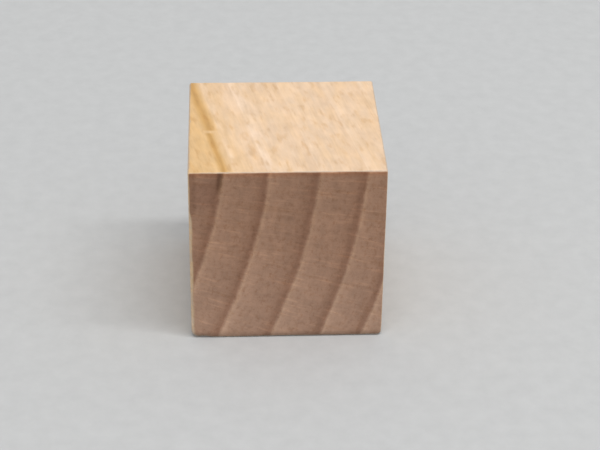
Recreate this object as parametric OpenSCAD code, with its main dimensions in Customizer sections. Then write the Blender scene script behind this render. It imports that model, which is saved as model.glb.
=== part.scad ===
// Wooden cube
//
// A plain block of pale, close-grained hardwood. A square strip is planed and
// sanded, its long arrises are eased, and the cube is sawn off its end. The
// grain runs from front to back, so the front and the back are end grain and
// the other four faces are long grain.
//
// The origin is the centre of the face that the cube rests on. Up is +Z, and
// the grain runs along Y, with the front end at -Y.

/* [Strip] */
// Width of the planed strip, from side to side
strip_w = 25; // [8:0.5:60]
// Thickness of the planed strip, from bottom to top
strip_t = 25; // [8:0.5:60]

/* [Cross-cut] */
// Length sawn off the strip, along the grain
cut_l = 25; // [8:0.5:60]

/* [Arrises] */
// Radius on the four arrises that run along the grain
long_arris_r = 0.25; // [0.05:0.05:2]
// Radius on the eight arrises around the two sawn ends
end_arris_r = 0.2; // [0.05:0.05:2]

/* [Hidden] */
// Fine enough for the rounds to stay true arcs
$fn = 64;

// A rectangle of w by h about the origin, with its four corners rounded to r
module eased_rectangle(w, h, r) {
    square([w - 2 * r, h], center = true);
    square([w, h - 2 * r], center = true);
    for (side_x = [-1, 1], side_y = [-1, 1])
        translate([side_x * (w / 2 - r), side_y * (h / 2 - r)])
            circle(r);
}

// The planed strip, as long as the cut, lying along Y about the origin
module planed_strip() {
    rotate([90, 0, 0])
        linear_extrude(cut_l, center = true)
            eased_rectangle(strip_w, strip_t, long_arris_r);
}

// The room that the two sawn ends leave once their top and bottom arrises are eased
module ends_eased_across() {
    rotate([90, 0, 90])
        linear_extrude(strip_w, center = true)
            eased_rectangle(cut_l, strip_t, end_arris_r);
}

// The room that the two sawn ends leave once their upright arrises are eased
module ends_eased_upright() {
    linear_extrude(strip_t, center = true)
        eased_rectangle(strip_w, cut_l, end_arris_r);
}

// The finished cube, standing on its lower long-grain face
module wooden_cube() {
    color("burlywood")
        translate([0, 0, strip_t / 2])
            intersection() {
                planed_strip();
                ends_eased_across();
                ends_eased_upright();
            }
}

wooden_cube();
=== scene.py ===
# Wooden cube: a plain block of pale, close-grained hardwood standing on a studio table.
import math
from typing import NamedTuple

import bpy
import numpy as np
from mathutils import Matrix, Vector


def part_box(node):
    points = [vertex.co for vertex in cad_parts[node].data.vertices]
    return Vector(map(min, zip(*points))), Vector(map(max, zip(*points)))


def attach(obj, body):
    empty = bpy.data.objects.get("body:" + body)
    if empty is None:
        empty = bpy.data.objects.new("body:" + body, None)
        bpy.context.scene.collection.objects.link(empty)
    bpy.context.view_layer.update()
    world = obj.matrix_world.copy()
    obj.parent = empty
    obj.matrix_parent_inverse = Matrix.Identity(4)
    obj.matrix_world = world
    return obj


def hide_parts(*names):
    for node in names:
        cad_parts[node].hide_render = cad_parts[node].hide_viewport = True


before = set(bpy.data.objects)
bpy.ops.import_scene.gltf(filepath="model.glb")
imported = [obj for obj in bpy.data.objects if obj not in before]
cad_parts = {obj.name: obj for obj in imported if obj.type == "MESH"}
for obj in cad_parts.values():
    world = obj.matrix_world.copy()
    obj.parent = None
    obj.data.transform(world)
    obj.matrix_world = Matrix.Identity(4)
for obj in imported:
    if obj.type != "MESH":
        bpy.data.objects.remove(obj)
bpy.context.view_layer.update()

# The block: one solid piece of hardwood, sawn off a planed and sanded strip. The
# saw leaves faint ripples on its two ends, and a few strokes of fine paper ease
# every arris, never quite evenly. Its shape is a rule, so Geometry Nodes make it.

MM = 0.001
BLOCK_LOW, BLOCK_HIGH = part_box("wooden_cube")
BLOCK_WIDTH, BLOCK_LENGTH, BLOCK_THICKNESS = (BLOCK_HIGH[i] - BLOCK_LOW[i] for i in range(3))

# Heights are above the foot. The corner is the front left arris, which is worn from
# Wear Full downwards. A rim is the strip beside an arris, where the mesh is finer.
BLOCK_SIZES = {
    "Width": BLOCK_WIDTH,
    "Length": BLOCK_LENGTH,
    "Thickness": BLOCK_THICKNESS,
    "Arris Radius": 0.28 * MM,
    "Arris Unevenness": 0.9,
    "Nick Depth": 0.14 * MM,
    "Foot Easing": 0.24 * MM,
    "Foot Height": 2.0 * MM,
    "Wear Depth": 0.36 * MM,
    "Wear Unevenness": 1.6,
    "Wear Start": 19.8 * MM,
    "Wear Full": 17.6 * MM,
    "Corner Near": 1.0 * MM,
    "Corner Far": 3.0 * MM,
    "Rim Width": 0.80 * MM,
    "Saw Ripple": 0.016 * MM,
    "Plane Ripple": 0.006 * MM,
    "Divisions": 120,
    "Rim Divisions": 8,
    "Seed": 4,
}

# How far each step of the seed moves the patterns that shape the block.
SEED_STEP_MM = (13.7, 5.1, 8.3)


class Pattern(NamedTuple):
    """Noise, with its scale in lumps to the millimetre. A small stretch number draws it out that way."""

    stretch: tuple
    scale: float
    detail: float = 2.0
    roughness: float = 0.5


ARRIS_WANDER = Pattern((1, 1, 1), 0.22, 3.0)
ARRIS_WEAR = Pattern((1, 1, 1), 0.35)
NICKS = Pattern((1, 1, 1), 0.9, 1.0)
NICK_RANGE = (0.64, 0.78)
SAW_RIPPLES = Pattern((1, 1, 0.06), 1.6)
PLANE_RIPPLES = Pattern((0.08, 1, 0.08), 0.7, 1.0)


def add_node(tree, kind, inputs=None, **settings):
    """Adds a node, sets its settings, and links or sets the inputs given by name or number."""
    made = tree.nodes.new(kind)
    for name, setting in settings.items():
        setattr(made, name, setting)
    for key, value in (inputs or {}).items():
        if isinstance(value, bpy.types.NodeSocket):
            tree.links.new(value, made.inputs[key])
        else:
            made.inputs[key].default_value = value
    return made


def number(tree, operation, *values):
    """The result of a Math node."""
    return add_node(tree, "ShaderNodeMath", dict(enumerate(values)), operation=operation).outputs[0]


def vector(tree, operation, *values):
    """The result of a Vector Math node, a number for lengths and dot products."""
    made = add_node(tree, "ShaderNodeVectorMath", dict(enumerate(values)), operation=operation)
    return made.outputs["Value" if operation in ("LENGTH", "DOT_PRODUCT") else "Vector"]


def scaled(tree, value, factor):
    """A vector times a number, either of them a socket."""
    made = add_node(tree, "ShaderNodeVectorMath", {0: value, "Scale": factor}, operation="SCALE")
    return made.outputs["Vector"]


def joined(tree, *values):
    """A vector from three numbers, or from one number three times."""
    if len(values) == 1:
        values *= 3
    return add_node(tree, "ShaderNodeCombineXYZ", dict(enumerate(values))).outputs[0]


def between(tree, value, start, end, low=0.0, high=1.0, smooth=True):
    """value taken from start..end to low..high, and held there outside."""
    made = add_node(
        tree,
        "ShaderNodeMapRange",
        {"Value": value, "From Min": start, "From Max": end, "To Min": low, "To Max": high},
        interpolation_type="SMOOTHSTEP" if smooth else "LINEAR",
    )
    return made.outputs[0]


def near(tree, value, middle, core, edge):
    """1 where value is within core of the middle, falling to 0 at edge."""
    distance = number(tree, "ABSOLUTE", number(tree, "SUBTRACT", value, middle))
    return between(tree, distance, edge, core)


def product(tree, *values):
    """Several numbers multiplied."""
    result = values[0]
    for value in values[1:]:
        result = number(tree, "MULTIPLY", result, value)
    return result


def noise(tree, places, pattern):
    """A pattern's noise at these places, which runs about one half."""
    inputs = {
        "Vector": vector(tree, "MULTIPLY", places, pattern.stretch),
        "Scale": pattern.scale,
        "Detail": pattern.detail,
        "Roughness": pattern.roughness,
    }
    return add_node(tree, "ShaderNodeTexNoise", inputs).outputs[0]


def swung(tree, level, pattern, amount):
    """A level raised and lowered by a pattern that runs about one half."""
    return number(tree, "MULTIPLY_ADD", number(tree, "SUBTRACT", pattern, 0.5), amount, level)


def block_rows(tree, given, half, cube_place):
    """The cube's points spread over the block, with the outermost rows closing up in each rim."""
    away = vector(tree, "ABSOLUTE", cube_place)
    rim = joined(tree, given["Rim Width"])
    rim_share = number(tree, "DIVIDE", given["Rim Divisions"], given["Divisions"])
    rim_start = joined(tree, number(tree, "MULTIPLY_ADD", rim_share, -2, 1))
    flat_reach = vector(tree, "SUBTRACT", half, rim)

    # Inputs 6 to 10 of a Map Range node are the ones for vectors.
    flat_range = {6: away, 7: (0, 0, 0), 8: rim_start, 9: (0, 0, 0), 10: flat_reach}
    flat = add_node(tree, "ShaderNodeMapRange", flat_range, data_type="FLOAT_VECTOR").outputs[1]
    rim_range = {6: away, 7: rim_start, 8: (1, 1, 1), 9: (1, 1, 1), 10: (0, 0, 0)}
    to_edge = add_node(tree, "ShaderNodeMapRange", rim_range, data_type="FLOAT_VECTOR").outputs[1]
    crowded = vector(tree, "SUBTRACT", (1, 1, 1), vector(tree, "MULTIPLY", to_edge, to_edge))
    reach = vector(tree, "ADD", flat, vector(tree, "MULTIPLY", rim, crowded))
    return vector(tree, "MULTIPLY", reach, vector(tree, "SIGN", cube_place))


def arris_radius(tree, given, half, place, place_mm):
    """How far the arrises are eased: unevenly, with nicks, and worn at the front left corner."""
    # A pattern swings half its amount each way, so twice the unevenness goes in.
    unevenness = number(tree, "MULTIPLY", given["Arris Unevenness"], 2)
    uneven = swung(tree, 1.0, noise(tree, place_mm, ARRIS_WANDER), unevenness)
    nick = product(tree, between(tree, noise(tree, place_mm, NICKS), *NICK_RANGE), given["Nick Depth"])
    radius = number(tree, "MULTIPLY_ADD", given["Arris Radius"], uneven, nick)

    from_corner = vector(tree, "ADD", place, half)
    from_left, from_front, above_foot = add_node(tree, "ShaderNodeSeparateXYZ", {0: from_corner}).outputs
    foot = between(tree, above_foot, given["Foot Height"], 0)
    radius = number(tree, "MULTIPLY_ADD", foot, given["Foot Easing"], radius)

    sides = (from_left, from_front)
    beside = [between(tree, gap, given["Corner Far"], given["Corner Near"]) for gap in sides]
    low = between(tree, above_foot, given["Wear Start"], given["Wear Full"])
    wear = swung(tree, 1.0, noise(tree, place_mm, ARRIS_WEAR), given["Wear Unevenness"])
    worn = product(tree, low, *beside, given["Wear Depth"], wear)
    radius = number(tree, "ADD", radius, worn)
    return number(tree, "MINIMUM", radius, given["Rim Width"])


def block_tree():
    """The block's Geometry Nodes: a fine box, crowded with rows at its arrises, rounded and rippled."""
    tree = bpy.data.node_groups.new("Sawn block", "GeometryNodeTree")
    for name, value in BLOCK_SIZES.items():
        kind = "NodeSocketInt" if isinstance(value, int) else "NodeSocketFloat"
        tree.interface.new_socket(name, in_out="INPUT", socket_type=kind)
    tree.interface.new_socket("Material", in_out="INPUT", socket_type="NodeSocketMaterial")
    tree.interface.new_socket("Block", in_out="OUTPUT", socket_type="NodeSocketGeometry")
    given = add_node(tree, "NodeGroupInput").outputs

    # A cube from -1 to 1, with as many rows each way as Divisions says.
    rows = number(tree, "ADD", given["Divisions"], 1)
    grid = {"Size": (2, 2, 2), "Vertices X": rows, "Vertices Y": rows, "Vertices Z": rows}
    cube = add_node(tree, "GeometryNodeMeshCube", grid).outputs["Mesh"]
    cube_place = add_node(tree, "GeometryNodeInputPosition").outputs[0]
    half = scaled(tree, joined(tree, given["Width"], given["Length"], given["Thickness"]), 0.5)
    place = block_rows(tree, given, half, cube_place)
    place_mm = vector(tree, "ADD", scaled(tree, place, 1 / MM), scaled(tree, SEED_STEP_MM, given["Seed"]))

    # Each point is pushed out from the core of the block by the radius, which rounds the arrises.
    radius = arris_radius(tree, given, half, place, place_mm)
    core = vector(tree, "SUBTRACT", half, joined(tree, radius))
    inside = vector(tree, "MINIMUM", place, core)
    inside = vector(tree, "MAXIMUM", inside, scaled(tree, core, -1.0))
    outward = vector(tree, "NORMALIZE", vector(tree, "SUBTRACT", place, inside))
    rounded = vector(tree, "ADD", inside, scaled(tree, outward, radius))

    # Saw ripples run up and down the two ends, and the planer's cross the other faces.
    facing_end = number(tree, "ABSOLUTE", vector(tree, "DOT_PRODUCT", outward, (0, 1, 0)))
    saw = swung(tree, 0.0, noise(tree, place_mm, SAW_RIPPLES), given["Saw Ripple"])
    plane = swung(tree, 0.0, noise(tree, place_mm, PLANE_RIPPLES), given["Plane Ripple"])
    ripple = add_node(tree, "ShaderNodeMix", {0: facing_end, 2: plane, 3: saw}).outputs[0]
    finished = vector(tree, "ADD", rounded, scaled(tree, outward, ripple))
    finished = vector(tree, "ADD", finished, vector(tree, "MULTIPLY", half, (0, 0, 1)))

    shaped = add_node(tree, "GeometryNodeSetPosition", {"Geometry": cube, "Position": finished}).outputs[0]
    smooth = add_node(tree, "GeometryNodeSetShadeSmooth", {"Geometry": shaped}).outputs[0]
    real = add_node(tree, "GeometryNodeRealizeInstances", {"Geometry": smooth}).outputs[0]
    covered = {"Geometry": real, "Material": given["Material"]}
    wood = add_node(tree, "GeometryNodeSetMaterial", covered).outputs[0]
    add_node(tree, "NodeGroupOutput", {"Block": wood})
    return tree


# The wood is one pattern through the whole block, laid out as in a log: out from the
# pith, along the fibres, and round the pith. So a ring that shows on an end runs on
# over the arris. Below, places and widths are in millimetres. A pair says where a thing
# starts to show and where it is full. A three gives its middle, and how far from there
# its core and its edge are.

# The fibres lean a little to the left as they run back, and the growth rings are
# cylinders about a pith far off to the left of the block and a little above it.
GRAIN_LEAN = math.radians(11)
PITH_X, PITH_Z = -90.0, 34.3
RING_WAVES = (
    (Pattern((1, 0.3, 1), 0.12, 1.0), 0.70),
    (Pattern((1, 0.12, 1), 0.9), 0.22),
    (Pattern((1, 0.1, 1), 4.0), 0.20),
)


class Place(NamedTuple):
    """Where each point lies in the log, and where it lies in the block."""

    in_log: bpy.types.NodeSocket
    radius: bpy.types.NodeSocket
    ring_radius: bpy.types.NodeSocket
    in_block: bpy.types.NodeSocket
    y: bpy.types.NodeSocket
    height: bpy.types.NodeSocket
    from_left: bpy.types.NodeSocket
    from_front: bpy.types.NodeSocket
    depth: bpy.types.NodeSocket


def find_place(tree, own_place):
    """Each point's place, worked out from its place in the block in metres."""
    turned = {
        "Vector": own_place,
        "Location": (-PITH_X, 0, -PITH_Z),
        "Rotation": (0, 0, -GRAIN_LEAN),
        "Scale": (1 / MM, 1 / MM, 1 / MM),
    }
    log = add_node(tree, "ShaderNodeMapping", turned).outputs[0]
    log_x, along, log_z = add_node(tree, "ShaderNodeSeparateXYZ", {0: log}).outputs
    radius = vector(tree, "LENGTH", vector(tree, "MULTIPLY", log, (1, 0, 1)))

    # Round the pith is measured as an arc, at about the block's own distance from it.
    round_pith = number(tree, "MULTIPLY", number(tree, "ARCTAN2", log_z, log_x), -PITH_X)
    in_log = joined(tree, radius, along, round_pith)

    # The rings wander in and out. This is the radius a point would have if its ring were a true circle.
    ring_radius = radius
    for pattern, amount in RING_WAVES:
        ring_radius = swung(tree, ring_radius, noise(tree, in_log, pattern), amount)

    in_block = scaled(tree, own_place, 1 / MM)
    x, y, height = add_node(tree, "ShaderNodeSeparateXYZ", {0: in_block}).outputs
    from_left = number(tree, "SUBTRACT", x, BLOCK_LOW[0] / MM)
    from_front = number(tree, "SUBTRACT", y, BLOCK_LOW[1] / MM)
    depth = number(tree, "SUBTRACT", BLOCK_HIGH[2] / MM, height)
    return Place(in_log, radius, ring_radius, in_block, y, height, from_left, from_front, depth)


# The growth rings from the innermost one in reach of the block outwards.
INNER_RING_RADIUS = 69.0
RING_WIDTHS = (5.7, 5.4, 5.6, 6.3, 5.9, 5.0, 5.4, 5.6)


def ring_age(tree, ring_radius):
    """From 0, just after one winter, to 1 at the next, at each radius of the log."""
    all_rings = sum(RING_WIDTHS)
    outermost = INNER_RING_RADIUS + all_rings
    reach = between(tree, ring_radius, INNER_RING_RADIUS, outermost, smooth=False)
    rings = add_node(tree, "ShaderNodeFloatCurve", {"Value": reach})
    points = rings.mapping.curves[0].points
    for ring in range(1, len(RING_WIDTHS)):
        points.new(sum(RING_WIDTHS[:ring]) / all_rings, ring / len(RING_WIDTHS))
    for point in points:
        point.handle_type = "VECTOR"
    rings.mapping.update()
    return number(tree, "FRACT", number(tree, "MULTIPLY", rings.outputs[0], len(RING_WIDTHS)))


# The figure. Its stretches go outwards, along the fibres and round the pith, so the rays
# are drawn out outwards and the fibres along the log. The saw lines run across the block.
FIGURE = {
    "speckle": Pattern((1, 0.15, 0.8), 2.0, 3.0, 0.65),
    "mottle": Pattern((1, 0.2, 0.5), 1.3),
    "cloud": Pattern((1, 0.4, 1), 0.3),
    "rays": Pattern((0.08, 0.25, 1), 2.8, 3.0),
    "broad rays": Pattern((0.09, 0.2, 1), 1.1, 1.0),
    "ray ends": Pattern((0.10, 0.28, 1), 3.2, 1.0),
    "fibres": Pattern((1, 0.05, 1), 4.2, 3.0),
    "flames": Pattern((1, 0.3, 1), 1.15),
    "flecks": Pattern((1, 0.28, 1), 1.35),
    "gold": Pattern((0.9, 0.22, 0.9), 0.8),
    "pores": Pattern((1, 0.12, 1), 5.5, 1.0),
}
SAW_LINES = Pattern((0.05, 0, 1), 3.0, 3.0, 0.7)
PORE_RANGE = (0.60, 0.74)


def wood_figure(tree, place):
    """Every part of the figure, as a number at each point."""
    figure = {part: noise(tree, place.in_log, pattern) for part, pattern in FIGURE.items()}
    figure["saw lines"] = noise(tree, place.in_block, SAW_LINES)
    figure["pore depth"] = between(tree, figure["pores"], *PORE_RANGE)
    return figure


def toned(tree, level, figure, amounts):
    """A level swung by several parts of the figure, each by its own amount."""
    for part, amount in amounts.items():
        level = swung(tree, level, figure[part], amount)
    return level


def colour_ramp(tree, value, *stops):
    """A colour for each value, from stops of (value, (red, green, blue))."""
    ramp = add_node(tree, "ShaderNodeValToRGB", {0: value})
    elements = ramp.color_ramp.elements
    while len(elements) < len(stops):
        elements.new(1.0)
    for element, (where, colour) in zip(elements, stops):
        element.position = where
        element.color = (*colour, 1.0)
    return ramp.outputs[0]


def mixed(tree, share, first, second, blend="MIX"):
    """Two colours mixed."""
    inputs = {0: share, 6: first, 7: second}
    return add_node(tree, "ShaderNodeMix", inputs, data_type="RGBA", blend_type=blend).outputs[2]


def tinted(tree, colour, factor):
    """A colour made lighter or darker by a factor."""
    grey = add_node(tree, "ShaderNodeCombineColor", dict.fromkeys(range(3), factor)).outputs[0]
    return mixed(tree, 1.0, colour, grey, "MULTIPLY")


def stained(tree, share, colour, stain):
    """A colour multiplied by a stain, as far as share says."""
    return mixed(tree, share, colour, (*stain, 1.0), "MULTIPLY")


class Stain(NamedTuple):
    """A stain that comes in as one part of the figure goes from start to full."""

    part: str
    start: float
    full: float
    colour: tuple


def stained_by(tree, figure, colour, stain, share=1.0):
    """A colour stained where the stain's part of the figure shows."""
    shows = between(tree, figure[stain.part], stain.start, stain.full)
    return stained(tree, product(tree, shows, share), colour, stain.colour)


# End grain, by the age of the ring. Painted light: by the height as a share of the block's thickness, the
# ends are lighter and cooler near the foot and darker and browner towards the top, standing for the
# table's light thrown up on them.
END_COLOURS = (
    (0.00, (0.378, 0.207, 0.132)),
    (0.05, (0.520, 0.314, 0.208)),
    (0.13, (0.466, 0.273, 0.182)),
    (0.36, (0.428, 0.247, 0.163)),
    (0.68, (0.404, 0.228, 0.149)),
    (0.83, (0.364, 0.197, 0.124)),
    (0.92, (0.310, 0.157, 0.095)),
    (0.97, (0.316, 0.160, 0.097)),
    (1.00, (0.378, 0.207, 0.132)),
)
END_PAINTED_LIGHT = (
    (0.10, (0.915, 0.966, 1.000)),
    (0.58, (0.792, 0.780, 0.750)),
    (0.92, (0.737, 0.712, 0.665)),
)
END_TONES = {"speckle": 0.24, "mottle": 0.36, "rays": 0.22, "cloud": 0.26, "saw lines": 0.14}
END_LIGHTNESS = 1.015
END_STAINS = (
    Stain("pores", *PORE_RANGE, (0.91, 0.85, 0.78)),
    Stain("speckle", 0.52, 0.26, (0.90, 0.83, 0.75)),
    Stain("broad rays", 0.58, 0.74, (0.95, 0.92, 0.87)),
    Stain("rays", 0.58, 0.68, (1.12, 1.11, 1.09)),
)


def end_grain_colour(tree, figure, age, place):
    """The two ends, where every fibre and ring is cut across."""
    by_age = colour_ramp(tree, age, *END_COLOURS)
    height_share = number(tree, "DIVIDE", place.height, BLOCK_THICKNESS / MM)
    # Painted light from the table below: lighter towards the foot, darker towards the top.
    painted_light_by_height = colour_ramp(tree, height_share, *END_PAINTED_LIGHT)
    colour = mixed(tree, 1.0, by_age, painted_light_by_height, "MULTIPLY")
    colour = tinted(tree, colour, toned(tree, END_LIGHTNESS, figure, END_TONES))
    for stain in END_STAINS:
        colour = stained_by(tree, figure, colour, stain)
    return colour


# Long grain: the rings hardly show, apart from two pale bands, and the wood nearer the
# pith is yellower. On the two sides the rays end, as short dark dashes.
LONG_COLOURS = (
    (0.00, (0.735, 0.538, 0.372)),
    (0.12, (0.722, 0.523, 0.355)),
    (0.80, (0.715, 0.514, 0.346)),
    (1.00, (0.700, 0.496, 0.328)),
)
YELLOW_RADII = (85.4, 79.4)
YELLOW_WOOD = (0.672, 0.440, 0.215, 1)
PALE_WOOD = (0.775, 0.585, 0.430, 1)
PALE_BANDS = (
    {"middle": 82.1, "core": 0.10, "edge": 0.70, "strength": 0.40},
    {"middle": 86.2, "core": 0.15, "edge": 1.05, "strength": 0.65},
)
PALE_PATCHES = {"start": 0.30, "end": 0.60, "low": 0.35}
LONG_STAINS = (
    Stain("flecks", 0.52, 0.72, (0.91, 0.86, 0.78)),
    Stain("flecks", 0.42, 0.28, (1.02, 1.04, 1.07)),
    Stain("gold", 0.40, 0.66, (1.0, 0.972, 0.905)),
)
SIDE_FACING = (0.5, 0.9)
RAY_END_STAIN = Stain("ray ends", 0.58, 0.67, (0.90, 0.83, 0.76))
LONG_TONES = {"fibres": 0.20, "flames": 0.36, "rays": 0.10, "cloud": 0.08}
LONG_LIGHTNESS = 1.02


def long_grain_colour(tree, figure, age, place, faces):
    """The top, the foot and the two sides, which the fibres run along."""
    colour = colour_ramp(tree, age, *LONG_COLOURS)
    colour = mixed(tree, between(tree, place.ring_radius, *YELLOW_RADII), colour, YELLOW_WOOD)
    patchy = between(tree, figure["flames"], **PALE_PATCHES)
    for band in PALE_BANDS:
        pale = near(tree, place.ring_radius, band["middle"], band["core"], band["edge"])
        colour = mixed(tree, product(tree, pale, patchy, band["strength"]), colour, PALE_WOOD)
    for stain in LONG_STAINS:
        colour = stained_by(tree, figure, colour, stain)
    on_a_side = between(tree, faces[0], *SIDE_FACING)
    colour = stained_by(tree, figure, colour, RAY_END_STAIN, on_a_side)
    return tinted(tree, colour, toned(tree, LONG_LIGHTNESS, figure, LONG_TONES))


# The mineral streak: a thin brown lens just under the top face, which breaks once, and
# goes on behind the break a little wider and further out. Its two fades are in half
# widths from its middle. On an end it is a short dark line down the late wood.
STREAK_RADIUS, STREAK_HALF_WIDTH = 80.42, 0.50
STREAK_EDGE = Pattern((1, 0.2, 1), 1.1)
STREAK_RAGGEDNESS = 0.45
STREAK_DEPTHS = (4.0, 1.6)
BREAK_Y, BREAK_BLEND = -1.8, 0.4
BREAK_GAP = (0.1, 0.6)
BREAK_SHIFT, BREAK_SPREAD = 0.3, 0.25
STREAK_FADE, STREAK_STAIN = (1.6, 0.3), (0.86, 0.77, 0.54)
HEART_FADE, HEART_STAIN = (0.7, 0.1), (0.90, 0.86, 0.80)
STREAK_END_RADII, STREAK_END_STAIN = (80.05, 0.15, 0.55), (0.62, 0.55, 0.44)


def streaked_along(tree, colour, place):
    """Long grain with the streak and its darker heart."""
    past_break = between(tree, place.y, BREAK_Y - BREAK_BLEND, BREAK_Y + BREAK_BLEND)
    middle = number(tree, "MULTIPLY_ADD", past_break, BREAK_SHIFT, STREAK_RADIUS)
    half_width = number(tree, "MULTIPLY_ADD", past_break, BREAK_SPREAD, STREAK_HALF_WIDTH)
    ragged_radius = swung(tree, place.radius, noise(tree, place.in_log, STREAK_EDGE), STREAK_RAGGEDNESS)
    off_middle = number(tree, "ABSOLUTE", number(tree, "SUBTRACT", ragged_radius, middle))
    off_middle = number(tree, "DIVIDE", off_middle, half_width)
    off_break = number(tree, "ABSOLUTE", number(tree, "SUBTRACT", place.y, BREAK_Y))
    unbroken = between(tree, off_break, *BREAK_GAP)
    lens = product(tree, unbroken, between(tree, place.depth, *STREAK_DEPTHS))
    for fade, stain in ((STREAK_FADE, STREAK_STAIN), (HEART_FADE, HEART_STAIN)):
        share = product(tree, between(tree, off_middle, *fade), lens)
        colour = stained(tree, share, colour, stain)
    return colour


def streaked_across(tree, colour, place):
    """End grain with the streak's dark end."""
    line = near(tree, place.ring_radius, *STREAK_END_RADII)
    line = product(tree, line, between(tree, place.depth, *STREAK_DEPTHS))
    return stained(tree, line, colour, STREAK_END_STAIN)


# Marks on the ends: both are browner close under the top, with a dark line down the
# upper part of the left arris, and the front is smudged high on its left.
BROWN_DEPTHS, BROWN_STAIN = (1.0, 0.2), (1.0, 0.83, 0.68)
SMUDGE_FROM_LEFT, SMUDGE_DEPTH = (1.9, 0.6, 1.9), (3.1, 1.2, 2.6)
SMUDGE_FROM_FRONT, SMUDGE_STAIN = (1.5, 0.5), (0.88, 0.84, 0.84)
LEFT_LINE_FROM_LEFT, LEFT_LINE_DEPTHS = (0.45, 0.2, 0.75), (7.0, 5.0)
LEFT_LINE_STAIN = (0.78, 0.73, 0.69)


def marked_ends(tree, colour, place):
    """End grain with its marks."""
    colour = stained(tree, between(tree, place.depth, *BROWN_DEPTHS), colour, BROWN_STAIN)
    smudge = near(tree, place.from_left, *SMUDGE_FROM_LEFT)
    smudge = product(tree, smudge, near(tree, place.depth, *SMUDGE_DEPTH))
    smudge = product(tree, smudge, between(tree, place.from_front, *SMUDGE_FROM_FRONT))
    colour = stained(tree, smudge, colour, SMUDGE_STAIN)
    line = near(tree, place.from_left, *LEFT_LINE_FROM_LEFT)
    line = product(tree, line, between(tree, place.depth, *LEFT_LINE_DEPTHS))
    return stained(tree, line, colour, LEFT_LINE_STAIN)


# Handling has left the long grain greyer along the arrises, more so in some places.
ARRIS_FLATNESS = (0.985, 0.88)
HANDLED_GREY = (0.50, 0.40, 0.315, 1)
HANDLING = Pattern((1, 1, 1), 1.1, 3.0, 0.6)
HANDLING_SHARES = {"start": 0.35, "end": 0.65, "low": 0.35, "high": 0.80}


def handled(tree, colour, place, faces):
    """Long grain greyed where the surface turns over an arris."""
    flattest = number(tree, "MAXIMUM", number(tree, "MAXIMUM", faces[0], faces[1]), faces[2])
    grey = between(tree, noise(tree, place.in_block, HANDLING), **HANDLING_SHARES)
    grey = product(tree, grey, between(tree, flattest, *ARRIS_FLATNESS))
    return mixed(tree, grey, colour, HANDLED_GREY)


# A painted shadow: a dark line round the foot, standing for the contact shadow where the block stands on
# the table.
FOOT_SHADOW_HEIGHTS, FOOT_SHADOW_STEEPNESS = (1.1, 0.45), (0.98, 0.80)
FOOT_PAINTED_SHADOW = (0.75, 0.75, 0.74)


def painted_foot_shadow(tree, colour, place, faces):
    """The block's colour with a painted contact shadow, a dark line round its foot."""
    foot = between(tree, place.height, *FOOT_SHADOW_HEIGHTS)
    foot = product(tree, foot, between(tree, faces[2], *FOOT_SHADOW_STEEPNESS))
    return stained(tree, foot, colour, FOOT_PAINTED_SHADOW)


# Fibres stand up a little on the ends, and lie in shallow furrows along the other faces.
END_RELIEF = {"speckle": 0.020, "saw lines": 0.020, "pore depth": -0.012}
LONG_RELIEF = {"fibres": 0.014, "pore depth": -0.006}
RELIEF_STRENGTH = 0.8
END_ROUGHNESS, LONG_ROUGHNESS = 0.72, 0.56
FIBRE_ROUGHNESS = 0.16


def relief_and_roughness(tree, figure, end_grain):
    """The fine relief as a normal, and how rough the wood is."""
    end_relief = toned(tree, 0.0, figure, END_RELIEF)
    long_relief = toned(tree, 0.0, figure, LONG_RELIEF)
    relief = add_node(tree, "ShaderNodeMix", {0: end_grain, 2: long_relief, 3: end_relief}).outputs[0]
    raised = {"Height": relief, "Distance": MM, "Strength": RELIEF_STRENGTH}
    bump = add_node(tree, "ShaderNodeBump", raised).outputs[0]
    rough = add_node(tree, "ShaderNodeMix", {0: end_grain, 2: LONG_ROUGHNESS, 3: END_ROUGHNESS}).outputs[0]
    return bump, swung(tree, rough, figure["fibres"], FIBRE_ROUGHNESS)


# How squarely a surface has to cut the fibres to show end grain.
END_GRAIN_FACING = (0.60, 0.97)


def hardwood():
    """Bare, sanded, pale hardwood, with its figure, its mineral streak, its marks and its relief."""
    material = bpy.data.materials.new("Bare sanded hardwood")
    material.use_nodes = True
    tree = material.node_tree
    tree.nodes.clear()
    spot = add_node(tree, "ShaderNodeTexCoord").outputs
    place = find_place(tree, spot["Object"])
    age = ring_age(tree, place.ring_radius)
    figure = wood_figure(tree, place)

    # How far the surface faces along each side of the block, and how squarely it cuts the fibres.
    faces = add_node(tree, "ShaderNodeSeparateXYZ", {0: vector(tree, "ABSOLUTE", spot["Normal"])}).outputs
    fibre = (-math.sin(GRAIN_LEAN), math.cos(GRAIN_LEAN), 0)
    across_fibres = number(tree, "ABSOLUTE", vector(tree, "DOT_PRODUCT", spot["Normal"], fibre))
    end_grain = between(tree, across_fibres, *END_GRAIN_FACING)

    end_colour = end_grain_colour(tree, figure, age, place)
    end_colour = streaked_across(tree, end_colour, place)
    end_colour = marked_ends(tree, end_colour, place)
    long_colour = long_grain_colour(tree, figure, age, place, faces)
    long_colour = streaked_along(tree, long_colour, place)
    long_colour = handled(tree, long_colour, place, faces)
    colour = mixed(tree, end_grain, long_colour, end_colour)
    # Painted shadow round the foot, where the block meets the table.
    colour = painted_foot_shadow(tree, colour, place, faces)

    bump, rough = relief_and_roughness(tree, figure, end_grain)
    surface = {"Base Color": colour, "Roughness": rough, "Normal": bump}
    shader = add_node(tree, "ShaderNodeBsdfPrincipled", surface)
    add_node(tree, "ShaderNodeOutputMaterial", {"Surface": shader.outputs[0]})
    return material


# The map's six cells, and the clear strip round each, as a share of a cell.
MAP_COLUMNS, MAP_ROWS = 3, 2
MAP_MARGIN = 0.02


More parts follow.
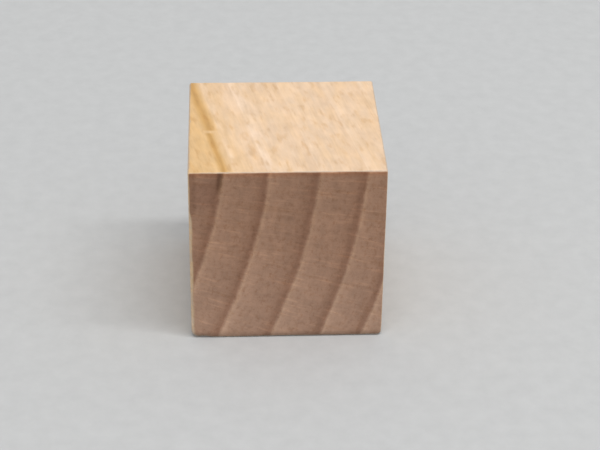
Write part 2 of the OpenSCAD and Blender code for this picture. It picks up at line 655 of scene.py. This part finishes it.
def map_in_six_cells(mesh):
    """Gives the block's mesh a map three cells across and two up, one cell for each face."""
    corner_points = np.empty(len(mesh.loops), dtype=np.int32)
    mesh.loops.foreach_get("vertex_index", corner_points)
    points = np.empty(len(mesh.vertices) * 3)
    mesh.vertices.foreach_get("co", points)
    normals = np.empty(len(mesh.polygons) * 3)
    mesh.polygons.foreach_get("normal", normals)
    corner_counts = np.empty(len(mesh.polygons), dtype=np.int32)
    mesh.polygons.foreach_get("loop_total", corner_counts)

    points, normals = points.reshape(-1, 3), normals.reshape(-1, 3)
    low, high = points.min(axis=0), points.max(axis=0)
    places = ((points - low) / (high - low))[corner_points]
    normals = np.repeat(normals, corner_counts, axis=0)
    faced = np.abs(normals).argmax(axis=1)
    corners = np.arange(len(faced))
    outwards = normals[corners, faced] > 0

    # Seen from outside, each cell reads left to right: X and Z faces turn one way, Y faces the other.
    across = places[corners, np.array((1, 0, 0))[faced]]
    up = places[corners, np.array((2, 2, 1))[faced]]
    across = np.where(outwards == (faced != 1), across, 1 - across)
    spread = 1 - 2 * MAP_MARGIN
    map_u = (faced + MAP_MARGIN + spread * across) / MAP_COLUMNS
    map_v = (outwards + MAP_MARGIN + spread * up) / MAP_ROWS
    layer = mesh.uv_layers.new(name="OFBake")
    layer.data.foreach_set("uv", np.column_stack((map_u, map_v)).ravel().astype(np.float32))


def block():
    """The block as a plain mesh, with its wood and its map."""
    tree = block_tree()
    maker = bpy.data.objects.new("block maker", bpy.data.meshes.new("block maker"))
    bpy.context.scene.collection.objects.link(maker)
    nodes = maker.modifiers.new("Sawn block", "NODES")
    nodes.node_group = tree
    values = {**BLOCK_SIZES, "Material": hardwood()}
    for socket in tree.interface.items_tree:
        if socket.in_out == "INPUT":
            nodes[socket.identifier] = values[socket.name]
    evaluated = maker.evaluated_get(bpy.context.evaluated_depsgraph_get())
    mesh = bpy.data.meshes.new_from_object(evaluated)
    mesh.name = "block"
    bpy.data.objects.remove(maker)
    map_in_six_cells(mesh)
    piece = bpy.data.objects.new("block", mesh)
    bpy.context.scene.collection.objects.link(piece)
    return piece


cube_block = block()
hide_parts("wooden_cube")
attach(cube_block, "root")

# The table: a plain pale grey top, far wider than the block, that the block stands on.

TABLE_HALF_WIDTH = 3.0
TABLE_MOTTLE = Pattern((1, 1, 1), 0.42, 4.0, 0.6)
TABLE_GREYS = (0.3, (0.482, 0.488, 0.489)), (0.7, (0.516, 0.522, 0.523))
TABLE_ROUGHNESS, TABLE_SHEEN = 0.9, 0.1

corner_sides = ((-1, -1), (1, -1), (1, 1), (-1, 1))
corners = [(x * TABLE_HALF_WIDTH, y * TABLE_HALF_WIDTH, BLOCK_LOW[2]) for x, y in corner_sides]
table_mesh = bpy.data.meshes.new("table")
table_mesh.from_pydata(corners, [], [(0, 1, 2, 3)])
table = bpy.data.objects.new("table", table_mesh)
bpy.context.scene.collection.objects.link(table)


def table_paint():
    """Matt, pale, slightly cool grey, with the faintest mottle."""
    material = bpy.data.materials.new("Pale matt table")
    material.use_nodes = True
    tree = material.node_tree
    tree.nodes.clear()
    place_mm = scaled(tree, add_node(tree, "ShaderNodeTexCoord").outputs["Object"], 1 / MM)
    colour = colour_ramp(tree, noise(tree, place_mm, TABLE_MOTTLE), *TABLE_GREYS)
    surface = {"Base Color": colour, "Roughness": TABLE_ROUGHNESS, "Specular IOR Level": TABLE_SHEEN}
    shader = add_node(tree, "ShaderNodeBsdfPrincipled", surface)
    add_node(tree, "ShaderNodeOutputMaterial", {"Surface": shader.outputs[0]})
    return material


table_mesh.materials.append(table_paint())

# The light: one long soft box overhead, more to the right than to the left and a
# little towards the front, in a room that is brighter overhead and in front. Its places
# and sizes are in metres, and its power is in watts.

BOX_HEIGHT = 1.0
BOX_MIDDLE = (0.32, -0.19)
BOX_SIZE = (1.04, 0.12)
BOX_POWER = 6.2
ROOM_AROUND = 0.584
ROOM_RISE = 0.25
ROOM_FRONT = 0.24

soft_box = bpy.data.lights.new("soft box", "AREA")
soft_box.shape = "RECTANGLE"
soft_box.size, soft_box.size_y = BOX_SIZE
soft_box.energy = BOX_POWER
lamp = bpy.data.objects.new("soft box", soft_box)
lamp.location = (*BOX_MIDDLE, BOX_HEIGHT)
bpy.context.scene.collection.objects.link(lamp)


def room():
    """The room's light, paler overhead and in front than behind."""
    world = bpy.data.worlds.new("room")
    world.use_nodes = True
    tree = world.node_tree
    tree.nodes.clear()
    towards = add_node(tree, "ShaderNodeTexCoord").outputs["Generated"]
    lift = vector(tree, "DOT_PRODUCT", towards, (0, -ROOM_FRONT, ROOM_RISE))
    strength = number(tree, "ADD", lift, ROOM_AROUND)
    background = add_node(tree, "ShaderNodeBackground", {"Color": (1, 1, 1, 1), "Strength": strength})
    add_node(tree, "ShaderNodeOutputWorld", {"Surface": background.outputs[0]})
    return world


bpy.context.scene.world = room()
bpy.context.scene.view_settings.view_transform = "Standard"

# The camera: a long lens, close in, looking down on the block from just left of its middle.

EYE = (-0.0079, -0.1967, 0.1301)
LOOK_DOWN = math.radians(31.46)
LOOK_RIGHT = math.radians(2.94)
LENS_TURN = math.radians(0.77)
LENS_MM, SENSOR_MM = 102.4, 36
NEAREST_SEEN = 0.01

lens = bpy.data.cameras.new("camera")
lens.lens = LENS_MM
lens.sensor_width = SENSOR_MM
lens.clip_start = NEAREST_SEEN
camera = bpy.data.objects.new("camera", lens)
turn = Matrix.Rotation(-LOOK_RIGHT, 4, "Z")
tip = Matrix.Rotation(math.radians(90) - LOOK_DOWN, 4, "X")
roll = Matrix.Rotation(LENS_TURN, 4, "Z")
camera.matrix_world = Matrix.Translation(EYE) @ turn @ tip @ roll
bpy.context.scene.collection.objects.link(camera)
bpy.context.scene.camera = camera
